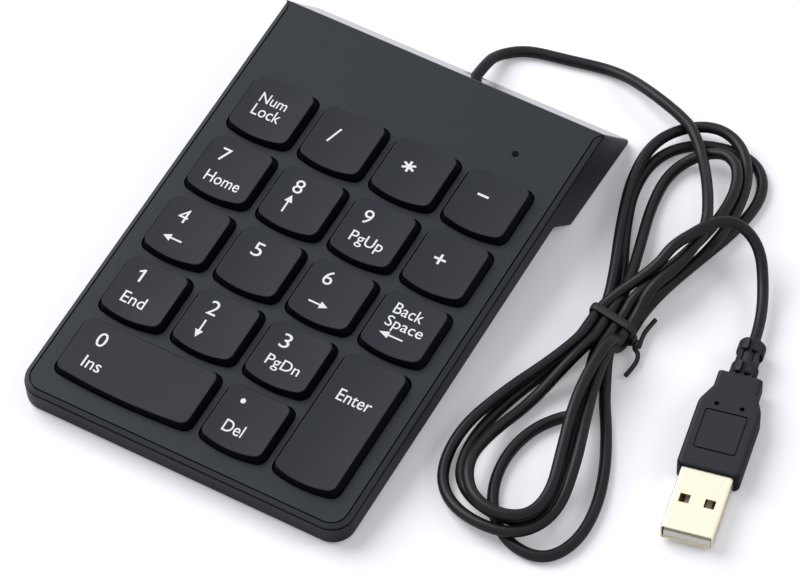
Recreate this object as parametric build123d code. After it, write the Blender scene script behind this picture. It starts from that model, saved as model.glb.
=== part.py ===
from build123d import *
import math
import os

# Numeric keypad with a USB lead. Millimetres.
# The keypad is drawn flat in its deck frame: X to the right, Y from the front edge to the
# rear, Z up from the face plate's top. It is then set down on its sloping foot, so that in
# the finished part Z = 0 is the desk and the origin is under the middle of the keypad.

# ---- Slope and keys
slope = 5.0                 # the deck rises towards the rear, degrees
key_pitch = 19.0
key_columns = 4
key_rows = 5
key_travel = 1.8
key_height = 2.3            # cap's rim above the face plate
key_skirt = 0.5             # cap's skirt below the face plate's top
key_gap = 0.3               # round a cap's skirt
well_rib = 1.4              # bar left between two key wells
well_bow = 1.25             # a well's front edge swells towards the user
wide_bow = 0.9              # the same on a double-width key
well_radius = 2.6
cap_radius = 2.0
cap_draft = 0.85            # lean of the cap's sides and rear
cap_front_draft = 0.25
cap_wall = 1.0
cap_roof = 1.1
cap_dish = 0.3              # hollow of the cap's top
cap_edge = 0.2              # rounding of the cap's top edge

# ---- Case
plate_margin = 3.6          # face plate outside the key wells, at the sides
front_margin = 4.6          # face plate in front of the front row
rear_panel = 21.65          # bare face plate behind the rear row
rim_width = 1.05            # visible rim of the upper case at the sides
front_rim = 0.9
plate_thickness = 1.0
plate_radius = 3.9          # front corners
plate_flare = 3.2           # rear corners widen to the full width over this length
plate_edge = 0.6            # rounding of the rear top edge
reveal = 0.35               # gap between face plate and rim
rim_fall = 0.5              # the rim's top falls away towards its edge
rim_depth = 0.9             # rim's height at its outer edge
groove_height = 0.45        # shadow groove between rim and lower case
groove_depth = 0.4
rim_inset = 0.2             # rim stands in from the lower case's wall
case_depth = 6.8            # from the face plate's top to the flat underside
case_wall = 1.6
case_floor = 1.0
case_radius = 5.4           # front corners
case_edge = 0.8             # rounding of the underside's edges
deck_skin = 1.2             # upper case under the face plate
block_margin = 1.0          # upper case round the key wells
well_floor = 0.8
well_clearance = 0.25       # under a pressed cap, and over a sleeve
tongue_depth = 1.4
tongue_wall = 1.1
case_clearance = 0.1        # between nested mouldings

# ---- Foot
foot_start = 97.0           # the foot begins here on the underside
foot_lean = 7.6             # the foot's front face runs back by this much
foot_bend = 3.0
foot_toe = 1.5
rear_reach = 12.7           # the rear wall runs back by this much
desk_gap = 0.1              # case's front edge above the desk
sole_gap = 0.4              # foot's underside above the desk

# ---- Key guides
sleeve_bore = 4.2           # radius
sleeve_wall = 0.9
stem_clearance = 0.06
stem_wall = 0.8
stem_reach = 2.6            # stem's end below the face plate's top
pusher_radius = 1.5
barb_width = 1.4
barb_depth = 0.45
barb_height = 0.6
slot_clearance = 0.1

# ---- Switch stack, from the bottom up
backing_thickness = 0.5
film_thickness = 0.1
mat_thickness = 0.4
stack_width = 72.0
stack_front = 4.5           # from the case's front edge
stack_rear = 100.5
stack_radius = 3.0
dome_height = 2.2
dome_base = 3.1             # radius
dome_top = 1.7              # radius
dome_wall = 0.35
contact_radius = 2.2
tail_width = 22.0
tail_length = 8.0
tail_side = -6.0            # X of the tails' middle

# ---- Stabiliser wires of the two long keys
wire_radius = 0.4
wire_arm = 6.0
wire_peg = 2.2
wire_bend = 0.8
wire_half = 12.0            # half the bar's length
wire_drop = 1.8             # bar's middle below the face plate's top
wire_offset = 5.7           # bar from the middle of the key
arm_dip = 1.4               # beyond this the arms dip below the well's floor
wire_clearance = 0.05
hook_place = 9.0            # along the bar
hook_width = 2.0
hook_wall = 0.6
tab_width = 1.0
tab_length = 2.6
tab_lip = 0.35
tab_slack = 0.4             # for a peg's swing, along the tab

# ---- Electronics
board_width = 54.0
board_front = 101.2
board_length = 14.0
board_thickness = 1.0
board_side = 5.0            # X of the board's middle
board_post_radius = 2.0
chip_size = 7.0
chip_height = 1.6
chip_side = 16.0
chip_place = 109.0
light_side = 27.0           # X of the indicator
light_place = 107.2         # Y of the indicator
light_radius = 0.6
light_recess = 0.3
light_clearance = 0.05
light_flange = 1.1          # radius of the light guide's body
led_width = 2.0
led_length = 1.25
led_height = 0.8
led_gap = 0.2
clamp_length = 5.0
clamp_thickness = 1.4
clamp_overhang = 2.6        # clamp beyond its screws
clamp_screw_span = 27.4

# ---- Fasteners and feet
screw_side = 39.0
screw_places = (12.0, 91.0)
rear_screw_side = 37.4
rear_screw_place = 112.0
screw_radius = 0.9
screw_head_radius = 1.9
screw_head_height = 1.2
screw_bite = 2.3            # thread inside the boss
screw_clearance = 0.1
driver_width = 0.5          # cross recess
driver_depth = 0.6
boss_radius = 1.8
post_radius = 2.6
seat_thickness = 0.7
rear_boss_length = 5.0
small_screw_radius = 0.7
small_head_radius = 1.4
small_head_height = 0.9
small_screw_bite = 3.0
front_foot_width = 12.0
front_foot_length = 6.0
front_foot_place = 9.5      # from the case's front edge
front_foot_side = 27.0
rear_foot_width = 26.0
rear_foot_length = 8.0
rear_foot_side = 24.0
rear_foot_inset = 9.0       # pads' middle from the foot's rear bottom edge
foot_sink = 0.5             # pads sit this deep in the case
foot_radius = 1.5
foot_gap = 0.05             # round a pad in its recess

# ---- Cord and its grommet
cord_radius = 1.35
cord_side = 2.7             # X where the cord leaves
cord_exit_height = 4.4      # above the desk
cord_hold = 3.0             # length of cord held in the grommet
grommet_neck = 2.1          # radius
grommet_head = 2.7          # radius
grommet_seat = 3.1          # head's shoulder inside the rear wall, along the cord
neck_span = 1.2
nose_length = 1.0
grommet_wall = 1.5          # case round the head
grommet_clearance = 0.03
core_radius = 0.28
core_pitch = 0.64
core_count = 4
core_bend = 2.0
core_start = 3.0            # straight length at the grommet
core_overhang = 2.0         # cores reach past the board's rear edge
core_place = 112.0          # Y of the solder pads on the board

# ---- Hank and its tie
hank_height = 5.4
hank_edge = 1.5
eye_corner = 2.0
tie_place = 15.4            # Y of the tie
tie_side = 65.65            # X of the tie's middle
waist_width = 11.4
waist_length = 16.0
tie_width = 2.2
tie_thickness = 0.6
tie_clearance = 0.06
tie_end_radius = 0.75
tie_end_bend = 1.6

# ---- Plug
plug_turn = 12.0            # plug's axis from -Y towards +X, degrees
plug_x = 104.2              # where the shell leaves the overmould
plug_y = -11.8
grip_width = 14.6
grip_length = 18.8
grip_thickness = 6.5
shoulder_length = 4.6
neck_width = 10.4
neck_length = 4.4
neck_thickness = 5.9
grip_corner = 1.4
grip_edge = 1.1
panel_width = 10.0
panel_length = 11.4
panel_groove = 0.4          # width of the groove round the panel
panel_depth = 0.35
panel_place = 10.8          # from the shell's end of the grip
panel_radius = 0.8
pit_radius = 0.6
pit_depth = 0.8
pit_spacing = 5.9
pit_place = 18.2
ring_radius = 3.2           # the strain relief's rings
ring_core = 2.2
ring_length = 3.4
ring_gap = 3.2              # between the rings
ring_start = 1.0            # between the neck and the first ring
ring_count = 2
ring_edge = 0.5
notch_width = 1.1           # a notch across the top and bottom of each ring
rail_width = 1.1            # a rail at each side joins the rings
rail_place = 1.9
shell_width = 12.0
shell_thickness = 4.5
shell_length = 16.9
shell_wall = 0.3
shell_sink = 6.0            # length held in the overmould
shell_corner = 0.6
shell_clearance = 0.02
window_size = 2.4
window_side = 2.9
window_place = 8.3
tongue_thickness = 1.9
tongue_recess = 0.6
contact_width = 1.0
contact_pitch = 2.4
contact_count = 4
contact_thickness = 0.25
contact_length = 15.0
contact_sink = 0.15         # contacts lie this deep in the tongue
lead_straight = 6.0         # cord straight behind the strain relief

# ---- Worked out from the sizes above
well_size = key_pitch - well_rib
block_width = key_columns * key_pitch - well_rib
block_length = key_rows * key_pitch - well_rib
plate_half = block_width / 2 + plate_margin
rim_half = plate_half + reveal + rim_width
case_half = rim_half + rim_inset
plate_front = rim_inset + front_rim + reveal
block_front = plate_front + front_margin
block_rear = block_front + block_length
deck_length = block_rear + rear_panel
floor_top = case_floor - case_depth
backing_top = floor_top + backing_thickness
mat_bottom = backing_top + 3 * film_thickness
mat_top = mat_bottom + mat_thickness
stem_end = -stem_reach
dome_end = mat_top + dome_height
cap_inside = key_height - cap_dish - cap_roof
well_bottom = -(key_skirt + key_travel + well_clearance)
deck_bottom = well_bottom - well_floor
sleeve_top = cap_inside - key_travel - well_clearance
sleeve_end = mat_top + case_clearance
wall_top = -(rim_depth + groove_height)
skin_bottom = -(plate_thickness + deck_skin)
inner_half = case_half - case_wall
desk_drop = case_depth + desk_gap
slope_rise = math.tan(math.radians(slope))
desk_turn = math.cos(math.radians(slope))
foot_lift = sole_gap / desk_turn
wall_lean = rear_reach / (desk_drop + (deck_length + rear_reach) * slope_rise - foot_lift)
lift = desk_drop * desk_turn
run_share = 0.45            # part of a cord's run that its arc may use
wire_swing = math.asin(key_travel / 2 / wire_arm)
peg_y = wire_arm * math.cos(wire_swing) - wire_offset
peg_rest = key_travel / 2 - wire_drop
peg_end = wire_half + wire_peg
peg_middle = wire_half + (wire_peg + wire_bend) / 2
peg_slot = wire_radius + wire_clearance
board_top = backing_top
board_bottom = board_top - board_thickness
clamp_place = board_front + clamp_length / 2 + screw_clearance
tail_end = stack_rear + tail_length
clamp_bottom = board_top + 3 * film_thickness
clamp_top = clamp_bottom + clamp_thickness
tongue_bottom = shell_wall + shell_clearance - shell_thickness / 2
tongue_top = tongue_bottom + tongue_thickness
contact_start = -shell_sink / 2
contact_end = contact_start + contact_length
relief_length = ring_count * ring_length + (ring_count - 1) * ring_gap + ring_start


def desk_under(y):
    """Height of the desk in the deck frame, at a place y behind the front edge."""
    return -desk_drop - y * slope_rise


def foot_under(y):
    return desk_under(y) + foot_lift


def rear_wall(z):
    """Y of the sloping rear wall at a height z in the deck frame."""
    return deck_length - z * wall_lean


def on_desk(shape):
    """Turn a piece from the deck frame to the desk, with its middle still to be set."""
    return Pos(0, 0, lift) * Rot(slope, 0, 0) * shape


def off_desk(shape):
    """Turn a piece from the desk back to the deck frame."""
    return Rot(-slope, 0, 0) * Pos(0, 0, -lift) * shape


def desk_point(x, y, z):
    """A point of the deck frame, on the desk."""
    rise = math.sin(math.radians(slope))
    return x, y * desk_turn - z * rise, y * rise + z * desk_turn + lift


def cord_rod(y0, y1, radius):
    """A cylinder round the cord's exit, from y0 to y1 outside the rear wall."""
    rod = Rot(90, 0, 0) * Cylinder(radius, y1 - y0)
    return Pos(cord_side, cord_wall + (y0 + y1) / 2, cord_exit_height) * rod


def bar(x0, x1, y0, y1, z0, z1):
    return Pos((x0 + x1) / 2, (y0 + y1) / 2, (z0 + z1) / 2) * Box(x1 - x0, y1 - y0, z1 - z0)


def post(x, y, z0, z1, radius):
    return Pos(x, y, (z0 + z1) / 2) * Cylinder(radius, z1 - z0)


def rounded(x0, x1, y0, y1, radius):
    sketch = Pos((x0 + x1) / 2, (y0 + y1) / 2) * Rectangle(x1 - x0, y1 - y0)
    return fillet(sketch.vertices(), radius)


def front_rounded(half, y0, y1, radius):
    """A plan outline with round front corners and square rear ones."""
    sketch = Pos(0, (y0 + y1) / 2) * Rectangle(2 * half, y1 - y0)
    return fillet(sketch.vertices().group_by(Axis.Y)[0], radius)


def slab(sketch, z0, z1):
    return Pos(0, 0, z0) * extrude(sketch, amount=z1 - z0)


def bowed(width, length, bow, rear_corner, front_corner):
    """A key's outline: straight sides and rear, and a front edge that swells forward."""
    half, rear = width / 2, length / 2
    side_end = bow - rear
    sides = Polyline((-half, side_end), (-half, rear), (half, rear), (half, side_end))
    front = ThreePointArc((half, side_end), (0, -rear), (-half, side_end))
    sketch = make_face(sides + front)
    sketch = fillet(sketch.vertices().group_by(Axis.Y)[-1], rear_corner)
    return fillet(sketch.vertices().group_by(Axis.Y)[0], front_corner)


sine = math.sin(math.radians(slope))
exit_z = (cord_exit_height - lift - deck_length * sine) / (desk_turn - wall_lean * sine)
cord_wall = desk_point(cord_side, rear_wall(exit_z), exit_z)[1]


def largest(shape):
    """The solid that a row of cuts and joins has left, as one solid."""
    return shape.solids().sort_by(SortBy.VOLUME)[-1]


# ---- Keys: name, column, row from the rear, columns wide, rows tall
KEYS = (
    ("num_lock", 0, 0, 1, 1), ("divide", 1, 0, 1, 1), ("multiply", 2, 0, 1, 1),
    ("minus", 3, 0, 1, 1), ("7", 0, 1, 1, 1), ("8", 1, 1, 1, 1), ("9", 2, 1, 1, 1),
    ("plus", 3, 1, 1, 1), ("4", 0, 2, 1, 1), ("5", 1, 2, 1, 1), ("6", 2, 2, 1, 1),
    ("backspace", 3, 2, 1, 1), ("1", 0, 3, 1, 1), ("2", 1, 3, 1, 1), ("3", 2, 3, 1, 1),
    ("enter", 3, 3, 1, 2), ("0", 0, 4, 2, 1), ("decimal", 2, 4, 1, 1),
)


def key_place(column, row, wide, tall):
    x = (column + (wide - key_columns) / 2) * key_pitch
    y = block_rear - well_size / 2 - (row + (tall - 1) / 2) * key_pitch
    return x, y


def bow_of(wide):
    return well_bow if wide == 1 else wide_bow


def well_outline(wide, tall):
    width = well_size + (wide - 1) * key_pitch
    length = well_size + (tall - 1) * key_pitch
    return bowed(width, length, bow_of(wide), well_radius, well_radius)


def key_cap(wide, tall):
    """A drafted, dished shell with its guide stem, drawn round the key's middle."""
    width = well_size + (wide - 1) * key_pitch - 2 * key_gap
    length = well_size + (tall - 1) * key_pitch - 2 * key_gap
    bow = bow_of(wide)
    top_width = width - 2 * cap_draft
    top_length = length - cap_draft - cap_front_draft
    top_shift = (cap_front_draft - cap_draft) / 2
    skirt = bowed(width, length, bow, well_radius, well_radius)
    rim = bowed(top_width, top_length, bow, cap_radius, cap_radius)
    cap = loft([Pos(0, 0, -key_skirt) * skirt, Pos(0, top_shift, key_height) * rim])
    dish_radius = ((top_width / 2) ** 2 + cap_dish ** 2) / (2 * cap_dish)
    dish = Rot(90, 0, 0) * Cylinder(dish_radius, 2 * length)
    cap -= Pos(0, 0, key_height - cap_dish + dish_radius) * dish
    cap = fillet(cap.faces().sort_by(Axis.Z)[-1].edges(), cap_edge)
    skirt = bowed(width - 2 * cap_wall, length - 2 * cap_wall, bow, cap_radius, cap_radius)
    rim = bowed(top_width - 2 * cap_wall, top_length - 2 * cap_wall, bow, cap_radius, cap_radius)
    cap -= loft([Pos(0, 0, -key_skirt) * skirt, Pos(0, top_shift, cap_inside) * rim])
    stem_radius = sleeve_bore - stem_clearance
    root = cap_inside + cap_roof / 2
    stem = post(0, 0, stem_end, root, stem_radius)
    stem -= post(0, 0, stem_end, cap_inside, stem_radius - stem_wall)
    stem += post(0, 0, dome_end, root, pusher_radius)
    reach = stem_radius + barb_depth
    barb = bar(-reach, reach, -barb_width / 2, barb_width / 2, stem_end, stem_end + barb_height)
    stem += barb - post(0, 0, stem_end, 0, stem_radius - stem_wall / 2)
    return cap + stem


# ---- Stabiliser wires, drawn for a bar along X, with the arms reaching to +Y
def stabiliser_wire():
    points = (
        (-peg_end, peg_y, peg_rest), (-wire_half, peg_y, peg_rest),
        (-wire_half, -wire_offset, -wire_drop), (wire_half, -wire_offset, -wire_drop),
        (wire_half, peg_y, peg_rest), (peg_end, peg_y, peg_rest),
    )
    path = FilletPolyline(*points, radius=wire_bend)
    return sweep(Plane(path @ 0, z_dir=path % 0) * Circle(wire_radius), path=path)


def wire_tab(side):
    """A tab under the cap, with a slot for one peg of the wire."""
    middle = side * peg_middle
    slot_half = peg_slot + tab_slack
    tab = bar(middle - tab_width / 2, middle + tab_width / 2, peg_y - tab_length / 2,
              peg_y + tab_length / 2, peg_rest - peg_slot - tab_lip, cap_inside + cap_roof / 2)
    return tab - bar(middle - tab_width, middle + tab_width, peg_y - slot_half,
                     peg_y + slot_half, peg_rest - peg_slot, peg_rest + peg_slot)


def wire_hook(side):
    """An open hook on the well's floor that holds the bar."""
    x = side * hook_place
    half = peg_slot + hook_wall
    hook = bar(x - hook_width / 2, x + hook_width / 2, -wire_offset - half, half - wire_offset,
               well_bottom - well_floor / 2, peg_slot - wire_drop)
    hook -= Pos(x, -wire_offset, -wire_drop) * Rot(0, 90, 0) * Cylinder(peg_slot, 2 * hook_width)
    return hook - bar(x - hook_width, x + hook_width, -wire_offset - wire_radius,
                      wire_radius - wire_offset, -wire_drop, peg_slot)


def wire_opening(side):
    """Room in the well's floor for the wire's arm and the tab of a pressed key."""
    inside = wire_half - wire_radius - key_gap
    outside = peg_end + key_gap
    return bar(min(side * inside, side * outside), max(side * inside, side * outside),
               arm_dip - wire_offset, peg_y + tab_length / 2 + key_gap, deck_bottom, well_bottom)


def wire_turn(wide):
    """The wire runs along the key's long side."""
    return Rot(0, 0, 0) if wide > 1 else Rot(0, 0, 90)


# ---- Case mouldings
def plate_outline(grow):
    """Straight sides that flare to the full width just before the rear edge."""
    half = plate_half + grow
    front = plate_front - grow
    rear = rear_wall(-plate_thickness)
    flare = deck_length - plate_flare
    sag = 0.3
    bend_x = half + (case_half - half) * sag
    bend_y = deck_length - plate_flare * sag
    outline = [
        Polyline((-half, flare), (-half, front), (half, front), (half, flare)),
        ThreePointArc((half, flare), (bend_x, bend_y), (case_half, deck_length)),
        Polyline((case_half, deck_length), (case_half, rear), (-case_half, rear),
                 (-case_half, deck_length)),
        ThreePointArc((-case_half, deck_length), (-bend_x, bend_y), (-half, flare)),
    ]
    sketch = make_face(Curve() + outline)
    return fillet(sketch.vertices().group_by(Axis.Y)[0], plate_radius + grow)


def rear_cut(z0, z1, inset):
    """Everything in front of the sloping rear wall, set in by a thickness."""
    points = [(0, z0), (0, z1), (rear_wall(z1) - inset, z1), (rear_wall(z0) - inset, z0)]
    return extrude(Plane.YZ * make_face(Polyline(*points, close=True)), amount=2 * case_half, both=True)


def face_plate():
    plate = slab(plate_outline(0.0), -plate_thickness, 0)
    plate &= rear_cut(-2 * plate_thickness, plate_thickness, 0)
    top_rear = plate.faces().sort_by(Axis.Z)[-1].edges().sort_by(Axis.Y)[-1]
    plate = fillet(top_rear, plate_edge)
    for name, column, row, wide, tall in KEYS:
        x, y = key_place(column, row, wide, tall)
        plate -= Pos(x, y, 0) * slab(well_outline(wide, tall), -plate_thickness, 0)
    plate -= post(light_side, light_place, -plate_thickness, 0, light_radius)
    return largest(plate)


def upper_case():
    """The rim, the deck with its key wells and sleeves, and the screw bosses."""
    inner_front = case_wall + case_clearance
    inner_side = inner_half - case_clearance
    inner_rear = deck_length - case_wall - case_clearance
    rim = front_rounded(rim_half, rim_inset, deck_length, case_radius - rim_inset)
    crest = front_rounded(plate_half + reveal, plate_front - reveal, deck_length,
                          plate_radius + reveal)
    neck = front_rounded(rim_half - groove_depth, rim_inset + groove_depth, inner_rear,
                         case_radius - rim_inset - groove_depth)
    inner = front_rounded(inner_side, inner_front, inner_rear, case_radius - case_wall)
    hollow = front_rounded(inner_side - tongue_wall, inner_front + tongue_wall,
                           inner_rear - tongue_wall, case_radius - case_wall - tongue_wall)
    case = loft([Pos(0, 0, -rim_fall) * rim, crest])
    case += slab(rim, -rim_depth, -rim_fall)
    case &= rear_cut(-rim_depth, 0, 0)
    case += slab(neck, wall_top, -rim_depth)
    case += slab(inner, skin_bottom - tongue_depth, -plate_thickness)
    case -= slab(hollow, skin_bottom - tongue_depth, skin_bottom)
    case -= slab(plate_outline(reveal), -plate_thickness, 0)
    half = block_width / 2 + block_margin
    case += bar(-half, half, block_front - block_margin, block_rear + block_margin,
                deck_bottom, -plate_thickness)
    slot = barb_depth + slot_clearance
    groove_width = barb_width + 2 * slot_clearance
    groove_reach = sleeve_bore - stem_clearance + slot
    for name, column, row, wide, tall in KEYS:
        place = Pos(*key_place(column, row, wide, tall), 0)
        case -= place * slab(well_outline(wide, tall), well_bottom, -plate_thickness)
        case += place * post(0, 0, sleeve_end, sleeve_top, sleeve_bore + sleeve_wall)
        case -= place * post(0, 0, sleeve_end, sleeve_top, sleeve_bore)
        case -= place * bar(-groove_reach, groove_reach, -groove_width / 2, groove_width / 2,
                            sleeve_end, stem_end + barb_height)
        if wide > 1 or tall > 1:
            turn = wire_turn(wide)
            for side in (-1, 1):
                case += place * turn * wire_hook(side)
                case -= place * turn * wire_opening(side)
    for x, y, seat, boss_end in screws():
        case += post(x, y, boss_end, -plate_thickness, boss_radius)
        case -= post(x, y, boss_end, boss_end + screw_bite + screw_clearance,
                     screw_radius + case_clearance / 2)
    case += post(light_side, light_place, -plate_thickness - clamp_thickness, -plate_thickness,
                 light_flange + sleeve_wall)
    case -= post(light_side, light_place, -plate_thickness - clamp_thickness, -plate_thickness,
                 light_flange + light_clearance)
    return largest(case)


def screws():
    """Each case screw: X, Y, the seat under its head and the end of its boss."""
    seat = screw_head_height + desk_gap - case_depth
    boss_end = seat + seat_thickness
    found = [(side * screw_side, y, seat, boss_end) for side in (-1, 1) for y in screw_places]
    rear_end = skin_bottom - rear_boss_length
    rear_seat = rear_end - seat_thickness
    found += [(side * rear_screw_side, rear_screw_place, rear_seat, rear_end) for side in (-1, 1)]
    return found


def side_profile(wall, floor, top):
    """The lower case seen from the side, set in by a wall and a floor."""
    toe = foot_start + foot_lean + wall
    sole_z = foot_under(deck_length + rear_reach)
    points = [
        (wall, top), (wall, floor - case_depth), (foot_start + wall, floor - case_depth),
        (toe, foot_under(toe) + floor), (rear_wall(sole_z) - wall, sole_z + floor),
        (rear_wall(top) - wall, top),
    ]
    profile = make_face(Polyline(*points, close=True))
    corners = profile.vertices().sort_by(Axis.X)
    profile = fillet(corners[2], foot_bend)
    corners = profile.vertices().sort_by(Axis.Y)
    toe_z = foot_under(toe) + floor
    toe_corner = min(corners, key=lambda corner: abs(corner.X - toe) + abs(corner.Y - toe_z))
    return fillet(toe_corner, foot_toe)


def rear_foot_y():
    return deck_length + rear_reach - rear_foot_inset


def lower_case():
    """The tub with its foot, screw posts and pad recesses."""
    outer = extrude(Plane.YZ * side_profile(0, 0, wall_top), amount=case_half, both=True)
    plan = front_rounded(case_half, 0, deck_length + 2 * rear_reach, case_radius)
    outer &= slab(plan, 4 * floor_top, 0)
    low_edges = [edge for edge in outer.edges() if is_low_edge(edge)]
    outer = fillet(low_edges, case_edge)
    cavity = extrude(Plane.YZ * side_profile(case_wall, case_floor, wall_top),
                     amount=inner_half, both=True)
    inner_plan = front_rounded(inner_half, case_wall, deck_length + 2 * rear_reach,
                               case_radius - case_wall)
    cavity &= slab(inner_plan, 4 * floor_top, 0)
    posts = []
    for x, y, seat, boss_end in screws():
        posts.append(post(x, y, 4 * floor_top, boss_end, post_radius))
    for x, y in board_posts():
        posts.append(post(x, y, 4 * floor_top, board_bottom, board_post_radius))
    boss = off_desk(cord_rod(-grommet_seat - neck_span, grommet_seat,
                             grommet_head + grommet_wall))
    case = outer - cavity
    case += outer & (Part() + posts + boss)
    case -= off_desk(cord_rod(-2 * grommet_seat, grommet_seat, grommet_neck + grommet_clearance))
    case -= off_desk(cord_rod(-grommet_seat, 2 * grommet_seat, grommet_head + grommet_clearance))
    for x, y, seat, boss_end in screws():
        case -= post(x, y, 4 * floor_top, seat, screw_head_radius + screw_clearance)
        case -= post(x, y, seat, boss_end, screw_radius + screw_clearance)
    for x, y in board_posts()[:2]:
        case -= post(x, y, board_bottom - small_screw_bite - screw_clearance, board_bottom,
                     small_screw_radius + case_clearance / 2)
    for x in (-front_foot_side, front_foot_side):
        case -= Pos(x, front_foot_place, 0) * slab(
            foot_outline(front_foot_width, front_foot_length, foot_gap),
            4 * floor_top, foot_sink - case_depth)
    for x in (-rear_foot_side, rear_foot_side):
        case -= rear_pad_place(x) * slab(
            foot_outline(rear_foot_width, rear_foot_length, foot_gap), -rear_reach, foot_sink)
    return largest(case)


def is_low_edge(edge):
    """An edge round the underside or down the rear corners, which gets rounded."""
    middle = edge.center()
    along = edge.tangent_at(0.5)
    if middle.Z > wall_top - 0.01 or abs(along.Z) > 0.99:
        return False
    if abs(along.X) > 0.99:
        return middle.Y < 1.0 or middle.Y > deck_length + rear_reach / 2
    return abs(middle.X) > case_half - case_radius


def foot_outline(width, length, grow):
    return rounded(-width / 2 - grow, width / 2 + grow, -length / 2 - grow, length / 2 + grow,
                   foot_radius)


def rear_pad_place(x):
    """On the foot's underside, square to the desk."""
    return Pos(x, rear_foot_y(), foot_under(rear_foot_y())) * Rot(-slope, 0, 0)


def rubber_pads(rear):
    """Two pads whose soles lie on the desk."""
    pads = []
    if rear:
        for x in (-rear_foot_side, rear_foot_side):
            pad = slab(foot_outline(rear_foot_width, rear_foot_length, 0), -sole_gap, foot_sink)
            pads.append(rear_pad_place(x) * pad)
        return pads
    for x in (-front_foot_side, front_foot_side):
        pad = slab(foot_outline(front_foot_width, front_foot_length, 0), 2 * floor_top,
                   foot_sink - case_depth)
        pad = Pos(x, front_foot_place, 0) * pad
        desk = Pos(0, 0, desk_under(0)) * Rot(-slope, 0, 0) * slab(
            Rectangle(4 * case_half, 4 * case_half), -case_half, 0)
        pads.append(pad - desk)
    return pads


def board_posts():
    """Two posts under the clamp's screws and one under the indicator's end."""
    half = clamp_screw_span / 2
    far = board_side + board_width / 2 - board_post_radius
    return [(tail_side - half, clamp_place), (tail_side + half, clamp_place), (far, clamp_place)]


# ---- Switch stack
def stack_sheet(z0, z1):
    half = stack_width / 2
    return slab(rounded(-half, half, stack_front, stack_rear, stack_radius), z0, z1)


def film(level, holes):
    """One of the three films, with its tail that lies on the board."""
    z0 = backing_top + level * film_thickness
    sheet = stack_sheet(z0, z0 + film_thickness)
    sheet += bar(tail_side - tail_width / 2, tail_side + tail_width / 2,
                 stack_rear - stack_radius, tail_end, z0, z0 + film_thickness)
    if holes:
        for name, column, row, wide, tall in KEYS:
            x, y = key_place(column, row, wide, tall)
            sheet -= post(x, y, z0, z0 + film_thickness, contact_radius)
    return largest(sheet)


def dome_mat():
    mat = stack_sheet(mat_bottom, mat_top)
    dome = Pos(0, 0, mat_top + dome_height / 2) * Cone(dome_base, dome_top, dome_height)
    inside = dome_height - dome_wall
    room = Pos(0, 0, mat_top + inside / 2) * Cone(dome_base - dome_wall, dome_top - dome_wall, inside)
    for name, column, row, wide, tall in KEYS:
        place = Pos(*key_place(column, row, wide, tall), 0)
        mat += place * dome
        mat -= place * room
        mat -= place * post(0, 0, mat_bottom, mat_top, dome_base - dome_wall)
    return largest(mat)


# ---- Electronics
def circuit_board():
    half = board_width / 2
    board = slab(rounded(board_side - half, board_side + half, board_front,
                         board_front + board_length, case_edge), board_bottom, board_top)
    for x, y in board_posts()[:2]:
        board -= post(x, y, board_bottom, board_top, small_screw_radius + screw_clearance)
    return largest(board)


def tail_clamp():
    """A bar that presses the two film tails onto the board's pads."""
    half = clamp_screw_span / 2 + clamp_overhang
    clamp = slab(rounded(tail_side - half, tail_side + half, clamp_place - clamp_length / 2,
                         clamp_place + clamp_length / 2, clamp_length / 3), clamp_bottom, clamp_top)
    for x, y in board_posts()[:2]:
        clamp += post(x, y, board_top, clamp_bottom, clamp_length / 2 - screw_clearance)
        clamp -= post(x, y, board_top, clamp_top, small_screw_radius + screw_clearance)
    return largest(clamp)


def screw(x, y, seat, length, radius, head_radius, head_height, up):
    """A pan-head screw; up is 1 when its tip points up and -1 when it points down."""
    head = post(0, 0, -head_height, 0, head_radius)
    head = fillet(head.edges().group_by(Axis.Z)[0], head_height / 4)
    for angle in (0, 90):
        head -= Rot(0, 0, angle) * bar(-head_radius * 0.6, head_radius * 0.6, -driver_width / 2,
                                       driver_width / 2, -head_height, driver_depth - head_height)
    made = head + post(0, 0, 0, length, radius)
    turn = Rot(0, 0, 0) if up > 0 else Rot(180, 0, 0)
    return Pos(x, y, seat) * turn * made


def case_screws():
    return [screw(x, y, seat, boss_end - seat + screw_bite, screw_radius, screw_head_radius,
                  screw_head_height, 1) for x, y, seat, boss_end in screws()]


def clamp_screws():
    length = clamp_top - board_bottom + small_screw_bite
    return [screw(x, y, clamp_top, length, small_screw_radius, small_head_radius,
                  small_head_height, -1) for x, y in board_posts()[:2]]


def controller_chip():
    half = chip_size / 2
    chip = bar(chip_side - half, chip_side + half, chip_place - half, chip_place + half,
               board_bottom - chip_height, board_bottom)
    return chamfer(chip.edges().group_by(Axis.Z)[0], chip_height / 5)


def status_led():
    led = bar(light_side - led_width / 2, light_side + led_width / 2,
              light_place - led_length / 2, light_place + led_length / 2,
              board_top, board_top + led_height / 2)
    return led + post(light_side, light_place, board_top, board_top + led_height, led_length / 2)


def light_guide():
    base = board_top + led_height + led_gap
    guide = post(light_side, light_place, base, -plate_thickness, light_flange)
    return guide + post(light_side, light_place, base, -light_recess, light_radius - light_clearance)


# ---- Cord, in the desk's frame
def route_radii(points):
    """The largest radius that the two runs at each corner leave room for."""
    radii = []
    for before, corner, after in zip(points, points[1:], points[2:]):
        run_in = Vector(corner) - Vector(before)
        run_out = Vector(after) - Vector(corner)
        shorter = min(run_in.length, run_out.length)
        half_turn = math.radians(run_in.get_angle(run_out) / 2)
        radii.append(run_share * shorter / math.tan(half_turn))
    return radii


def tube(points, radius, radii):
    path = FilletPolyline(*points, radius=radii)
    return sweep(Plane(path @ 0, z_dir=path % 0) * Circle(radius), path=path)


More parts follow.
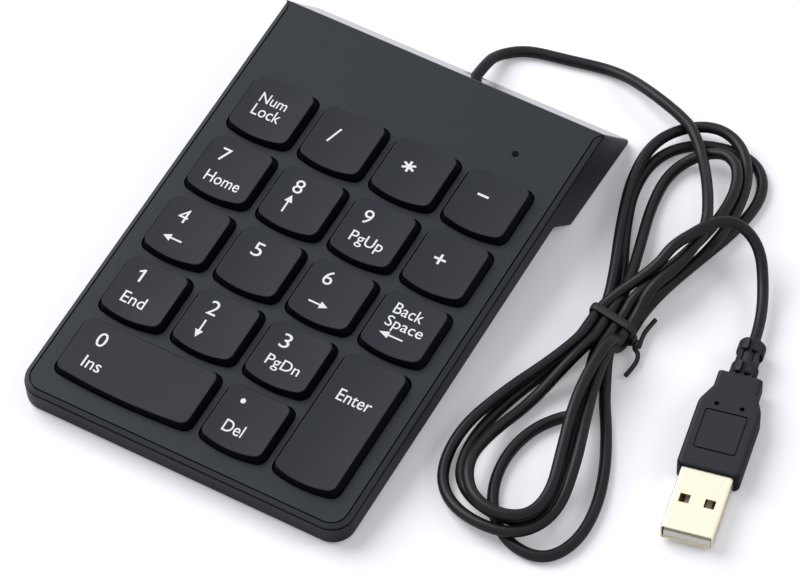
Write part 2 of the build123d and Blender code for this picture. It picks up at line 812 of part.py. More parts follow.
def cord_tube(name, points):
    """A stretch of cord, with its radii and volume printed."""
    radii = route_radii(points)
    made = tube(points, cord_radius, radii)
    length = FilletPolyline(*points, radius=radii).length
    print(name, "length", round(length, 1), "radii", [round(radius, 1) for radius in radii])
    print(name, "volume", round(made.volume), "section x length",
          round(math.pi * cord_radius ** 2 * length))
    return made


def grommet():
    """A bush flush with the rear wall, with a blind hole for the cord's end."""
    bush = cord_rod(-grommet_seat, grommet_seat, grommet_head)
    bush &= on_desk(rear_cut(4 * floor_top, 0, 0))
    nose = -grommet_seat - neck_span
    bush += cord_rod(nose, -grommet_seat, grommet_neck)
    bush += cord_rod(nose - nose_length, nose - grommet_clearance, grommet_head)
    return largest(bush - cord_rod(-cord_hold, grommet_seat, cord_radius + grommet_clearance))


def cable_cores():
    """Insulated wires from the grommet up to the board's solder pads."""
    y = cord_wall - grommet_seat - neck_span - nose_length
    wires = []
    for i in range(core_count):
        x = cord_side + (i - (core_count - 1) / 2) * core_pitch
        board_rear = board_front + board_length
        over = desk_point(x, board_rear + core_overhang, board_top + core_radius)
        pad = desk_point(x, core_place, board_top + core_radius)
        start = (x, y, cord_exit_height)
        points = (start, (x, y - core_start, cord_exit_height), over, pad)
        wires.append(tube(points, core_radius, [core_bend, core_bend]))
    return wires


# ---- Hank: a lower and an upper lobe that meet in the tie
LOWER_LOBE = (
    (66, -48.6), (79, -50.9), (88.6, -37.6), (84.6, -16.6), (75.5, 1.4), (65.6, 12.4), (54.5, -1.6),
    (47.6, -22.6), (52, -39.6),
)
UPPER_LOBE = (
    (61, 81.4), (73, 76.4), (80.8, 62.4), (79, 46.4), (73, 30.4), (65.6, 18.4), (54, 37.4), (44.9, 61.4),
    (50, 76.9),
)
LOWER_EYE = ((61.8, -4.6), (58.8, -24.6), (62.5, -36.6), (66, -30.6), (65.6, -8.6))
UPPER_EYE = ((63.8, 35.4), (59.6, 49.4), (61.2, 63.4), (65, 61.4), (66.4, 45.4))


def hank():
    made = []
    for outline, eye in ((LOWER_LOBE, LOWER_EYE), (UPPER_LOBE, UPPER_EYE)):
        lobe = slab(make_face(Spline(*outline, periodic=True)), 0, hank_height)
        for face in (-1, 0):
            lobe = fillet(lobe.faces().sort_by(Axis.Z)[face].edges(), hank_edge)
        hole = make_face(Polyline(*eye, close=True))
        made.append(lobe - slab(fillet(hole.vertices(), eye_corner), 0, hank_height))
    half = waist_width / 2
    base = tie_thickness + tie_clearance
    room = bar(tie_side - waist_width, tie_side + waist_width, tie_place - waist_length / 2,
               tie_place + waist_length / 2, 0, 2 * hank_height)
    waist = bar(tie_side - half, tie_side + half, tie_place - waist_length / 2 - hank_edge,
                tie_place + waist_length / 2 + hank_edge, base, base + hank_height)
    waist = fillet(waist.edges().filter_by(Axis.Y), hank_edge)
    return largest(made[0] + made[1] - room + waist)


def tie():
    """A flat band round the waist, with its two ends twisted out to the side."""
    inner = Rectangle(waist_width + 2 * tie_clearance, hank_height + 2 * tie_clearance)
    outer = Rectangle(waist_width + 2 * tie_clearance + 2 * tie_thickness,
                      hank_height + 2 * tie_clearance + 2 * tie_thickness)
    inner = fillet(inner.vertices(), hank_edge + tie_clearance)
    outer = fillet(outer.vertices(), hank_edge + tie_clearance + tie_thickness)
    ring = extrude(Plane.XZ * outer, amount=tie_width / 2, both=True)
    room = extrude(Plane.XZ * inner, amount=waist_length, both=True)
    middle = Pos(tie_side, tie_place, tie_thickness + tie_clearance + hank_height / 2)
    ring = middle * ring
    side = tie_side + waist_width / 2 + tie_clearance + tie_thickness / 2
    for points in (
        ((side, 15.9, 3.4), (side + 1.6, 18.0, 3.0), (side + 2.4, 21.8, 2.2)),
        ((side, 14.9, 3.0), (side + 1.4, 13.0, 2.6), (side + 3.1, 10.2, 1.6),
         (side + 3.0, 6.6, 1.0)),
    ):
        ring += tube(points, tie_end_radius, [tie_end_bend] * (len(points) - 2))
    return largest(ring - middle * room)


# ---- Plug, drawn along Y: the shell to +Y and the strain relief to -Y
def on_plug(shape):
    return Pos(plug_x, plug_y, grip_thickness / 2) * Rot(0, 0, 180 + plug_turn) * shape


def barrel(y0, y1, radius):
    return Pos(0, (y0 + y1) / 2, 0) * Rot(90, 0, 0) * Cylinder(radius, y1 - y0)


def plug_box(width, y0, y1, thickness, corner):
    box = bar(-width / 2, width / 2, y0, y1, -thickness / 2, thickness / 2)
    return fillet(box.edges().filter_by(Axis.Y), corner)


def panel_outline(inset):
    half = panel_width / 2 - inset
    reach = panel_length / 2 - inset
    return rounded(-half, half, -panel_place - reach, reach - panel_place, panel_radius - inset)


def plug_grip():
    """The moulded grip with its shoulders, neck and the strain relief's rings."""
    half = grip_width / 2
    neck_half = neck_width / 2
    neck_start = -grip_length - shoulder_length
    plan = make_face(Polyline(
        (-half, 0), (-half, -grip_length), (-neck_half, neck_start), (neck_half, neck_start),
        (half, -grip_length), (half, 0), close=True))
    plan = fillet(plan.vertices().group_by(Axis.Y)[-1], grip_corner)
    plan = fillet(plan.vertices().filter_by(lambda corner: abs(corner.Y + grip_length) < 0.01),
                  4 * grip_corner)
    grip = slab(plan, -grip_thickness / 2, grip_thickness / 2)
    grip = fillet(grip.faces().sort_by(Axis.Z)[-1].edges(), grip_edge)
    grip = fillet(grip.faces().sort_by(Axis.Z)[0].edges(), grip_edge)
    neck_end = neck_start - neck_length
    grip += plug_box(neck_width, neck_end, neck_start + grip_edge, neck_thickness, grip_edge)
    reach = neck_end - relief_length
    grip += barrel(reach, neck_end, ring_core)
    for i in range(ring_count):
        start = reach + i * (ring_length + ring_gap)
        ring = barrel(start, start + ring_length, ring_radius)
        ring = fillet(ring.edges(), ring_edge)
        ring -= bar(-notch_width / 2, notch_width / 2, start, start + ring_length,
                    -ring_radius, ring_radius)
        grip += ring
    for side in (-1, 1):
        rail = bar(side * rail_place - rail_width / 2, side * rail_place + rail_width / 2,
                   reach + ring_edge, neck_end, -ring_core, ring_core)
        grip += rail
    panel = panel_outline(0) - panel_outline(panel_groove)
    for top in (-1, 1):
        face = top * grip_thickness / 2
        grip -= slab(panel, min(face, face - top * panel_depth), max(face, face - top * panel_depth))
    for side in (-1, 1):
        grip -= post(side * pit_spacing / 2, -pit_place, grip_thickness / 2 - pit_depth,
                     grip_thickness / 2, pit_radius)
    grip -= plug_box(shell_width + 2 * shell_clearance, -shell_sink, 0,
                     shell_thickness + 2 * shell_clearance, shell_corner + shell_clearance)
    return largest(grip)


def plug_shell():
    inner_corner = shell_corner - shell_wall
    shell = plug_box(shell_width, -shell_sink, shell_length, shell_thickness, shell_corner)
    shell -= plug_box(shell_width - 2 * shell_wall, -shell_sink, shell_length,
                      shell_thickness - 2 * shell_wall, inner_corner)
    half = window_size / 2
    for x in (-window_side, window_side):
        shell -= bar(x - half, x + half, window_place - half, window_place + half,
                     -shell_thickness, shell_thickness)
    return largest(shell)


def contact_bars(grow, z0, z1):
    bars = []
    for i in range(contact_count):
        x = (i - (contact_count - 1) / 2) * contact_pitch
        half = contact_width / 2 + grow
        bars.append(bar(x - half, x + half, contact_start - grow, contact_end + grow, z0, z1))
    return bars


def plug_tongue():
    """The insulating block in the shell, hollow above the tongue, grooved for the contacts."""
    inside = shell_width - 2 * shell_wall - 2 * shell_clearance
    room = shell_thickness - 2 * shell_wall - 2 * shell_clearance
    corner = shell_corner - shell_wall
    block = plug_box(inside, -shell_sink, 0, room, corner)
    tongue = bar(-inside / 2 + corner, inside / 2 - corner, -shell_sink,
                 shell_length - tongue_recess, tongue_bottom, tongue_top)
    block += tongue
    groove_bottom = tongue_top - contact_sink
    groove_top = groove_bottom + contact_thickness + shell_clearance
    for groove in contact_bars(shell_clearance, groove_bottom, groove_top):
        block -= groove
    return largest(block)


def plug_contacts():
    z0 = tongue_top - contact_sink
    return contact_bars(0, z0, z0 + contact_thickness)


# ---- Keypad pieces, set down on the desk
pieces = {
    "face_plate": face_plate(), "upper_case": upper_case(), "lower_case": lower_case(),
    "dome_mat": dome_mat(), "film_bottom": film(0, False), "film_spacer": film(1, True),
    "film_top": film(2, False), "backing_plate": stack_sheet(floor_top, backing_top),
    "circuit_board": circuit_board(), "tail_clamp": tail_clamp(),
    "controller_chip": controller_chip(), "status_led": status_led(),
    "light_guide": light_guide(), "case_screws": Compound(case_screws()),
    "clamp_screws": Compound(clamp_screws()), "front_feet": Compound(rubber_pads(False)),
    "rear_feet": Compound(rubber_pads(True)),
}
for name, column, row, wide, tall in KEYS:
    place = Pos(*key_place(column, row, wide, tall), 0)
    key = key_cap(wide, tall)
    if wide > 1 or tall > 1:
        for side in (-1, 1):
            key += wire_turn(wide) * wire_tab(side)
        pieces["stabiliser_" + name] = place * wire_turn(wide) * stabiliser_wire()
    pieces["key_" + name] = place * largest(key)
middle = on_desk(pieces["lower_case"]).bounding_box().center().Y
centre = Pos(0, -middle, 0)
placed = {name: centre * on_desk(piece) for name, piece in pieces.items()}
placed["cable_grommet"] = centre * grommet()
placed["cable_cores"] = centre * Compound(cable_cores())

# ---- Free cord, hank and plug, where they lie beside the keypad
relief_end = -grip_length - shoulder_length - neck_length - relief_length
cord_end = on_plug(Pos(0, relief_end, 0)).position
cord_turn = on_plug(Pos(0, relief_end - lead_straight, 0)).position
LEAD = (
    (cord_side, cord_wall - cord_hold - middle, cord_exit_height), (2.7, 69.5, 4.4),
    (5.4, 77.8, 1.5), (14.5, 81.6, 1.4), (29, 84.3, 1.4), (43.2, 83.8, 1.5), (50.6, 78.8, 4.0),
)
PLUG_LEAD = (
    (79.6, 53.8, 4.0), (86.2, 49, 2.2), (91.6, 41, 1.5), tuple(cord_turn), tuple(cord_end),
)
placed["cable_lead"] = cord_tube("cable_lead", LEAD)
placed["cable_plug_lead"] = cord_tube("cable_plug_lead", PLUG_LEAD)
placed["cable_hank"] = hank()
placed["twist_tie"] = tie()
placed["plug_grip"] = on_plug(plug_grip())
placed["plug_shell"] = on_plug(plug_shell())
placed["plug_tongue"] = on_plug(plug_tongue())
placed["plug_contacts"] = on_plug(Compound(plug_contacts()))

os.makedirs("parts", exist_ok=True)
for name, piece in placed.items():
    export_step(piece, "parts/" + name + ".step")
print(len(placed), "nodes")
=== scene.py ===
# %% [markdown]
# # A numeric keypad, its cord and its plug
#
# The keypad is a thin case of black ABS with eighteen low keys, and a round PVC cord that is
# folded into a hank, tied, and ends in a flat plug. The moulded pieces come in as a fixed frame
# with their joints, so this file adds what a frame of hard solids can't show: the finish of
# each material, the loose turns of the cord, the ink on the keys, and the domes under them.
#
# Everything is in metres, and the frame's names say which piece is which.

import math

import bpy
from mathutils import Matrix, Vector


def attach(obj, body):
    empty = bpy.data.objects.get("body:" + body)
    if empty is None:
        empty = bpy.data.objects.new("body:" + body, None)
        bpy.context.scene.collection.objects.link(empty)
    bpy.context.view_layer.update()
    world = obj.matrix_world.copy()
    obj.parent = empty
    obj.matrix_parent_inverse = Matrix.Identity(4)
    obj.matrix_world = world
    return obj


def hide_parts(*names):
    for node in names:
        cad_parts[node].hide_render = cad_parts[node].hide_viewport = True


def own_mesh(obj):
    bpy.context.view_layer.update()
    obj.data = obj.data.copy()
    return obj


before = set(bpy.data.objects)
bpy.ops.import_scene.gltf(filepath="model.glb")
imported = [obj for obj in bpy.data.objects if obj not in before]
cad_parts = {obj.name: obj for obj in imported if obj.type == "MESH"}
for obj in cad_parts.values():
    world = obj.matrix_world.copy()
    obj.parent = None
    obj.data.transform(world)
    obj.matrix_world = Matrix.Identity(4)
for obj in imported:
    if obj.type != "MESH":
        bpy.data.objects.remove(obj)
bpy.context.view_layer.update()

# %% [markdown]
# ## Small tools
#
# Sizes are easier to think of in millimetres and colours in hex, so two short helpers turn them
# into what Blender wants. Others start and end a material and add one node with its settings
# and links. An operator acts on everything that is selected, and a fresh import is selected all
# over, so `clear_selection` comes before each new piece, and `pick` before an operator that is
# meant for certain pieces.

# %% Millimetres, colours and nodes
MM = 0.001


def linear(code):
    """An sRGB hex colour as the linear red, green, blue and alpha that a shader takes."""
    parts = [int(code[i:i + 2], 16) / 255 for i in (1, 3, 5)]
    return [p / 12.92 if p <= 0.04045 else ((p + 0.055) / 1.055) ** 2.4 for p in parts] + [1.0]


def add_node(tree, kind, settings=None, links=None):
    """Add a node, set its sockets and properties, and link other nodes' outputs into it."""
    node = tree.nodes.new(kind)
    for name, value in (settings or {}).items():
        if isinstance(name, int) or name in node.inputs:
            node.inputs[name].default_value = value
        else:
            setattr(node, name, value)
    for name, output in (links or {}).items():
        tree.links.new(output, node.inputs[name])
    return node


def new_finish(name):
    """A material with an empty tree."""
    finish = bpy.data.materials.new(name)
    finish.use_nodes = True
    finish.node_tree.nodes.clear()
    return finish


def any_ray(tree, *kinds):
    """One for a ray of any of these kinds, and nought for the others."""
    paths = add_node(tree, "ShaderNodeLightPath")
    found = paths.outputs[kinds[0]]
    for kind in kinds[1:]:
        found = add_node(tree, "ShaderNodeMath", {"operation": "MAXIMUM"},
                         {0: found, 1: paths.outputs[kind]}).outputs[0]
    return found


# %% Selecting, settling and making a mesh
def clear_selection():
    bpy.ops.object.select_all(action="DESELECT")


def pick(*pieces):
    """Select these pieces alone, the first of them active."""
    clear_selection()
    for piece in pieces:
        piece.select_set(True)
    bpy.context.view_layer.objects.active = pieces[0]


def settle(piece):
    """Put a finished piece's place, turn and size into its mesh."""
    pick(piece)
    bpy.ops.object.transform_apply(location=True, rotation=True, scale=True)


def as_mesh(piece):
    """Turn a curve or a text into the mesh that it shows."""
    pick(piece)
    bpy.ops.object.convert(target="MESH")
    return bpy.context.object


def new_curve(name, kind, dimensions, routes):
    """A curve object with one spline for each route, which is a list of x, y, z."""
    line = bpy.data.curves.new(name, "CURVE")
    line.dimensions = dimensions
    for route in routes:
        spline = line.splines.new(kind)
        spline.points.add(len(route) - 1)
        for point, place in zip(spline.points, route):
            point.co = (*place, 1.0)
    piece = bpy.data.objects.new(name, line)
    bpy.context.collection.objects.link(piece)
    return piece


# %% [markdown]
# ## The camera
#
# The keypad is seen from its front right corner, well above the desk, with a long lens, so its
# edges stay nearly parallel. The camera is aimed at a point near the middle of the keypad and
# then rolled by about a degree.

# %% Camera
camera_place = Vector((0.3804, -0.6077, 0.9102))
camera_aim = Vector((0.0173, 0.0027, 0.0))
camera_roll = -1.21
focal_length = 226.35           # millimetres, on a film 36 mm wide

lens = bpy.data.cameras.new("camera")
lens.lens = focal_length
lens.sensor_width = 36.0
lens.clip_start = 0.05
lens.clip_end = 20.0
camera = bpy.data.objects.new("camera", lens)
bpy.context.collection.objects.link(camera)
look = (camera_aim - camera_place).to_track_quat("-Z", "Y").to_matrix().to_4x4()
roll = Matrix.Rotation(math.radians(camera_roll), 4, "Z")
camera.matrix_world = Matrix.Translation(camera_place) @ look @ roll
bpy.context.scene.camera = camera
print("camera", round((camera_aim - camera_place).length, 3), "m from its aim")

# %% [markdown]
# ## Desk, lamps and surroundings
#
# Black plastic has little colour of its own: what the eye reads is mostly the pale room that its
# surface reflects. So the desk and the surroundings are plain and pale. One large soft lamp on
# the left gives the shadows, a small one on the right softens them, and the rest of the light
# comes evenly from all round. The desk adds a little light of its own for the camera alone,
# which keeps it white without putting more light on the keypad.

# %% Desk
desk_size = 8
desk_glow = 0.2


def desk_finish():
    """Matt white laminate that still shows soft shadows."""
    finish = new_finish("white_laminate_desk")
    tree = finish.node_tree
    lift = add_node(tree, "ShaderNodeMath", {"operation": "MULTIPLY", 1: desk_glow},
                    {0: any_ray(tree, "Is Camera Ray", "Is Transmission Ray")})
    matt = add_node(tree, "ShaderNodeBsdfDiffuse", {"Color": linear("#f4f4f8")})
    own = add_node(tree, "ShaderNodeEmission", {"Color": linear("#ffffff")},
                   {"Strength": lift.outputs[0]})
    both = add_node(tree, "ShaderNodeAddShader", None,
                    {0: matt.outputs["BSDF"], 1: own.outputs["Emission"]})
    add_node(tree, "ShaderNodeOutputMaterial", None, {"Surface": both.outputs["Shader"]})
    return finish


clear_selection()
bpy.ops.mesh.primitive_plane_add(size=desk_size, location=(0, 0, 0))
desk = bpy.context.object
desk.name = "desk"
desk.data.materials.append(desk_finish())
print("desk", desk.name)

# %% Surroundings: a pale sky blue that lights, and plain white to look at or to mirror
even_strength = 0.4

world = bpy.data.worlds.new("surroundings")
bpy.context.scene.world = world
world.use_nodes = True
room = world.node_tree
room.nodes.clear()
room_even = add_node(room, "ShaderNodeBackground",
                     {"Color": linear("#f4f5ff"), "Strength": even_strength})
room_white = add_node(room, "ShaderNodeBackground",
                      {"Color": linear("#ffffff"), "Strength": 1.0})
room_mix = add_node(room, "ShaderNodeMixShader", None,
                    {0: any_ray(room, "Is Camera Ray", "Is Glossy Ray", "Is Transmission Ray"),
                     1: room_even.outputs[0], 2: room_white.outputs[0]})
add_node(room, "ShaderNodeOutputWorld", None, {"Surface": room_mix.outputs[0]})
print("surroundings", world.name)


# %% Lamps
def soft_lamp(name, place, aim, size, watts):
    """A round area lamp that faces its aim."""
    data = bpy.data.lights.new(name, "AREA")
    data.shape = "DISK"
    data.size = size
    data.energy = watts
    lamp = bpy.data.objects.new(name, data)
    bpy.context.collection.objects.link(lamp)
    lamp.location = place
    lamp.rotation_euler = (Vector(aim) - Vector(place)).to_track_quat("-Z", "Y").to_euler()
    return lamp


main_lamp = soft_lamp("main_lamp", place=(-1.0, 0.1, 1.05), aim=(0.0, 0.0, 0.0), size=1.3,
                      watts=18.5)
fill_lamp = soft_lamp("fill_lamp", place=(0.85, 0.45, 0.75), aim=(0.05, 0.0, 0.0), size=0.5,
                      watts=2.2)
# The fill lamp would show as a pale patch in the polished rear wall, so nothing mirrors it.
fill_lamp.visible_glossy = False
print("lamps", round(main_lamp.location.length, 2), round(fill_lamp.location.length, 2), "m away")
bpy.context.scene.view_settings.view_transform = "Standard"

# %% [markdown]
# ## Moulded plastics
#
# The case and keys are injection-moulded ABS with a fine spark-eroded grain: the mould's steel
# is pitted, the pits come out as tiny bumps, and they scatter the reflection so that the black
# reads as a soft charcoal. The grain is about a tenth of a millimetre, too fine to show here, so
# it is drawn a few times coarser and very shallow. The keys, deck and rims share one recipe and
# differ in how dark and how matt they are.
#
# Two things depend on where a surface faces, and its normal tells that. Steep walls get painted
# shade: their colour and reflection are darkened for the shade that the sides of keys, case and
# plug are in. The case's rear wall, where the cord comes out, is polished.

# %% Painted shade on steep walls, and the polished rear wall
wall_to_top = (0.45, 0.85)      # the normal's Z, from a steep wall to a top
side_to_rear = (0.6, 0.75)      # the normal's Y, from any side to the rear wall


def facing(tree):
    """A node with the parts of the surface's normal."""
    surface = add_node(tree, "ShaderNodeNewGeometry")
    return add_node(tree, "ShaderNodeSeparateXYZ", None, {"Vector": surface.outputs["Normal"]})


def paint_wall_shade(tree, skin, colour, specular, painted_wall_shade):
    """Paint shade on the steep walls: bring their colour and reflection down to the given share.
    """
    shade = add_node(tree, "ShaderNodeMapRange",
                     {"From Min": wall_to_top[0], "From Max": wall_to_top[1],
                      "To Min": painted_wall_shade, "To Max": 1.0}, {"Value": facing(tree).outputs["Z"]})
    shaded = add_node(tree, "ShaderNodeVectorMath", {"operation": "SCALE", 0: linear(colour)[:3]},
                      {"Scale": shade.outputs["Result"]})
    tree.links.new(shaded.outputs["Vector"], skin.inputs["Base Color"])
    sheen = add_node(tree, "ShaderNodeMath", {"operation": "MULTIPLY", 1: specular},
                     {0: shade.outputs["Result"]})
    tree.links.new(sheen.outputs[0], skin.inputs["Specular IOR Level"])


def polish_rear(tree, skin, bumps, wear, specular, rear_roughness):
    """Take the grain off the rear wall and give it a smooth, full reflection."""
    polish = add_node(tree, "ShaderNodeMapRange",
                      {"From Min": side_to_rear[0], "From Max": side_to_rear[1],
                       "To Min": 0.0, "To Max": 1.0}, {"Value": facing(tree).outputs["Y"]})
    smooth = add_node(tree, "ShaderNodeMapRange", {"To Max": rear_roughness},
                      {"Value": polish.outputs["Result"], "To Min": wear.outputs["Result"]})
    tree.links.new(smooth.outputs["Result"], skin.inputs["Roughness"])
    flatter = add_node(tree, "ShaderNodeMapRange", {"To Min": 1.0, "To Max": 0.0},
                       {"Value": polish.outputs["Result"]})
    tree.links.new(flatter.outputs["Result"], bumps.inputs["Strength"])
    brighter = add_node(tree, "ShaderNodeMapRange", {"To Min": specular, "To Max": 1.0},
                        {"Value": polish.outputs["Result"]})
    tree.links.new(brighter.outputs["Result"], skin.inputs["Specular IOR Level"])


# %% Moulded finish
patch_size = 9.0                # worn and fresh patches, in millimetres
patch_spread = 0.03             # how much rougher or smoother they are
dressed = []


def dress(node, finish):
    """Give a frame piece its finish in every one of its material slots."""
    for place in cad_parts[node].material_slots:
        place.link = "DATA"
        place.material = finish
    dressed.append(node)


def moulded(name, colour, roughness, grain, depth, nodes=(), specular=0.5, painted_wall_shade=1.0,
            rear_roughness=None):
    """A grained plastic or rubber for these frame pieces; grain and depth are millimetres."""
    finish = new_finish(name)
    tree = finish.node_tree
    place = add_node(tree, "ShaderNodeTexCoord")
    pits = add_node(tree, "ShaderNodeTexNoise",
                    {"Scale": 1 / (grain * MM), "Detail": 2.0, "Roughness": 0.6},
                    {"Vector": place.outputs["Object"]})
    patches = add_node(tree, "ShaderNodeTexNoise",
                       {"Scale": 1 / (patch_size * MM), "Detail": 3.0, "Roughness": 0.55},
                       {"Vector": place.outputs["Object"]})
    wear = add_node(tree, "ShaderNodeMapRange",
                    {"From Min": 0.3, "From Max": 0.7, "To Min": roughness - patch_spread,
                     "To Max": roughness + patch_spread}, {"Value": patches.outputs["Fac"]})
    bumps = add_node(tree, "ShaderNodeBump", {"Strength": 1.0, "Distance": depth * MM},
                     {"Height": pits.outputs["Fac"]})
    skin = add_node(tree, "ShaderNodeBsdfPrincipled",
                    {"Base Color": linear(colour), "IOR": 1.5, "Specular IOR Level": specular},
                    {"Roughness": wear.outputs["Result"], "Normal": bumps.outputs["Normal"]})
    if painted_wall_shade < 1:
        paint_wall_shade(tree, skin, colour, specular, painted_wall_shade)
    if rear_roughness:
        polish_rear(tree, skin, bumps, wear, specular, rear_roughness)
    add_node(tree, "ShaderNodeOutputMaterial", None, {"Surface": skin.outputs["BSDF"]})
    for node in nodes:
        dress(node, finish)
    return finish


# %% The outside: charcoal ABS, and softer PVC round the cord
keys = [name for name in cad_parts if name.startswith("key_")]
# The keys' plastic is a little darker than that of the plate they stand in. Their steep sides
# get painted shade, for the shadow in the gap round each cap.
moulded("grained_abs_keys", "#1d2129", 0.5, 0.35, 0.012, keys, 0.22, painted_wall_shade=0.3)
moulded("grained_abs_deck", "#23282e", 0.5, 0.35, 0.012, ["face_plate"], 0.22)
# The case has a smoother, satin mould, so its rim catches a little more light. Its colour is a
# little lighter than the deck's, though both are one plastic: that is painted light. Its steep
# walls get painted shade.
moulded("satin_abs_case", "#2a2d32", 0.45, 0.4, 0.01, ["upper_case", "lower_case"], 0.22,
        painted_wall_shade=0.45, rear_roughness=0.08)
# Soft PVC is dull. The bush in the rear wall shines a little more than the plug's grip, whose
# steep sides get painted shade.
moulded("grained_pvc_grip", "#22242a", 0.5, 0.4, 0.015, ["plug_grip"], 0.25, painted_wall_shade=0.4)
moulded("soft_pvc_bush", "#0c0d10", 0.42, 0.5, 0.006, ["cable_grommet"], 0.35)
# Rubber pads have the dullest surface here, and hardly any reflection is seen on them.
moulded("rubber_pads", "#202122", 0.75, 0.3, 0.02, ["front_feet", "rear_feet"])

# %% The inside: rubber, film, resin and nylon
# Silicone is milky, and the films are clear polyester that looks grey in a stack.
dome_rubber = moulded("silicone_domes", "#c9c8c0", 0.45, 0.6, 0.005)
moulded("polyester_film", "#c9cbc4", 0.2, 0.8, 0.001, ["film_bottom", "film_spacer", "film_top"])
# The board has a clear green lacquer, and its chip is cast in matt black resin.
moulded("solder_mask", "#1c5a34", 0.3, 0.5, 0.004, ["circuit_board"])
moulded("epoxy_chip", "#161616", 0.55, 0.2, 0.01, ["controller_chip"])
# Cast resin is as smooth as glass: smoked for the light guide and clear for the lamp under it.
moulded("smoked_light_guide", "#0c0c0d", 0.15, 0.5, 0.001, ["light_guide"])
moulded("clear_epoxy_led", "#dcd7bd", 0.15, 0.5, 0.001, ["status_led"])
# The plug's tongue is plain white nylon. The four cores' PVC jackets are all drawn in red.
moulded("nylon_tongue", "#efeee6", 0.4, 0.5, 0.004, ["plug_tongue"])
moulded("pvc_insulation", "#a02a22", 0.4, 0.4, 0.003, ["cable_cores"])
print("moulded finishes on", len(dressed), "frame pieces")

# %% [markdown]
# ## Metals
#
# The plug's shell is folded steel plated with nickel, which has a faint warm cast. It reflects
# the pale room, so it is one of the brightest things here. The screws and the plate under the
# keys are zinc plated, and the four contacts are plated with gold. A rolled sheet keeps the
# rollers' lines, so its roughness is stretched along one direction.

# %% Plated finish
line_width = 0.4                # millimetres between the rollers' lines
line_stretch = 0.08
line_spread = 0.05


def plated(name, colour, roughness, nodes):
    """Plated sheet metal with faint rolling lines."""
    finish = new_finish(name)
    tree = finish.node_tree
    place = add_node(tree, "ShaderNodeTexCoord")
    stretched = add_node(tree, "ShaderNodeMapping", {"Scale": (1.0, line_stretch, 1.0)},
                         {"Vector": place.outputs["Object"]})
    lines = add_node(tree, "ShaderNodeTexNoise",
                     {"Scale": 1 / (line_width * MM), "Detail": 2.0, "Roughness": 0.5},
                     {"Vector": stretched.outputs["Vector"]})
    grain = add_node(tree, "ShaderNodeMapRange",
                     {"From Min": 0.3, "From Max": 0.7, "To Min": roughness - line_spread,
                      "To Max": roughness + line_spread}, {"Value": lines.outputs["Fac"]})
    skin = add_node(tree, "ShaderNodeBsdfPrincipled",
                    {"Base Color": linear(colour), "Metallic": 1.0},
                    {"Roughness": grain.outputs["Result"]})
    add_node(tree, "ShaderNodeOutputMaterial", None, {"Surface": skin.outputs["BSDF"]})
    for node in nodes:
        dress(node, finish)


plated("nickel_plated_shell", "#f8f0da", 0.3, ["plug_shell"])
plated("zinc_plated_steel", "#c8cacb", 0.4,
       ["backing_plate", "tail_clamp", "case_screws", "clamp_screws"])
plated("spring_steel_wire", "#b8babd", 0.3, ["stabiliser_0", "stabiliser_enter"])
plated("gold_plated_contacts", "#e8c777", 0.25, ["plug_contacts"])
print("finishes on", len(dressed), "frame pieces")

# %% [markdown]
# ## The cord
#
# The cord is one length of round PVC, about 2.7 mm thick. It leaves the rear of the case, is
# folded into four lower and three upper loops that all pass through the tie, and runs on to the
# plug. A hank like this is folded by hand, so no two loops are the same size, and they fan out
# where nothing holds them.
#
# Each loop goes from one place in the tie round its own tip and back to another place. Its
# points are worked out by `loop`: `near` and `far` are how far it swells to the right on its two
# sides, and a larger power puts the swelling nearer the tip. The points are the control points
# of one smooth curve.

# %% The cord's sizes and its places in the tie
cord_thickness = 2.7
cord_exit = (2.7, 64.6, 4.4)
tie_columns = (61.3, 64.1, 66.9, 69.7)
tie_layers = (2.0, 4.65)        # heights of the cord's middle
tie_front = 10.9
tie_rear = 19.9
loop_points = 14
half_turn = [step / 200 for step in range(1, 628)]      # half a turn, in fine steps


# %% One loop of the hank
def swelling(turn, power):
    """How far a loop swells at a turn, before it is scaled."""
    return math.sin(turn) * math.sin(turn / 2) ** power


def loop(start, end, tip, near, far, near_power, far_power):
    """Control points of a loop in plan, in millimetres, from start round tip to end."""
    near_peak = max(swelling(turn, near_power) for turn in half_turn)
    far_peak = max(swelling(turn, far_power) for turn in half_turn)
    made = []
    for k in range(1, loop_points):
        turn = 2 * math.pi * k / loop_points
        share = (1 - math.cos(turn)) / 2
        base = Vector(start) + (Vector(end) - Vector(start)) * turn / (2 * math.pi)
        reach = Vector(tip) - base
        aside = Vector((-reach.y, reach.x)).normalized()
        if aside.x < 0:
            aside = -aside
        if turn <= math.pi:
            swell = near * swelling(turn, near_power) / near_peak
        else:
            swell = -far * swelling(turn, far_power) / far_peak
        made.append(tuple(base + reach * share + aside * swell))
    return made


def tied_loop(columns, layers, side, tip, near, far, near_power, far_power, neck=None):
    """A loop with its two ends in the tie, as points in plan and the heights of its ends."""
    start, end = (tie_columns[columns[0]], side), (tie_columns[columns[1]], side)
    inner = neck or (start, end)
    between = loop(inner[0], inner[1], tip, near, far, near_power, far_power)
    if neck:
        between = [neck[0]] + between + [neck[1]]
    return [start] + between + [end], {0: tie_layers[layers[0]], -1: tie_layers[layers[1]]}


# %% [markdown]
# The lower loops are called `low_1` to `low_4` and the upper ones `high_1` to `high_3`, in the
# order in which the cord goes through them. The lead runs from the case to the hank, and the
# tail from the hank to the plug. Each has the heights of the points that something holds.

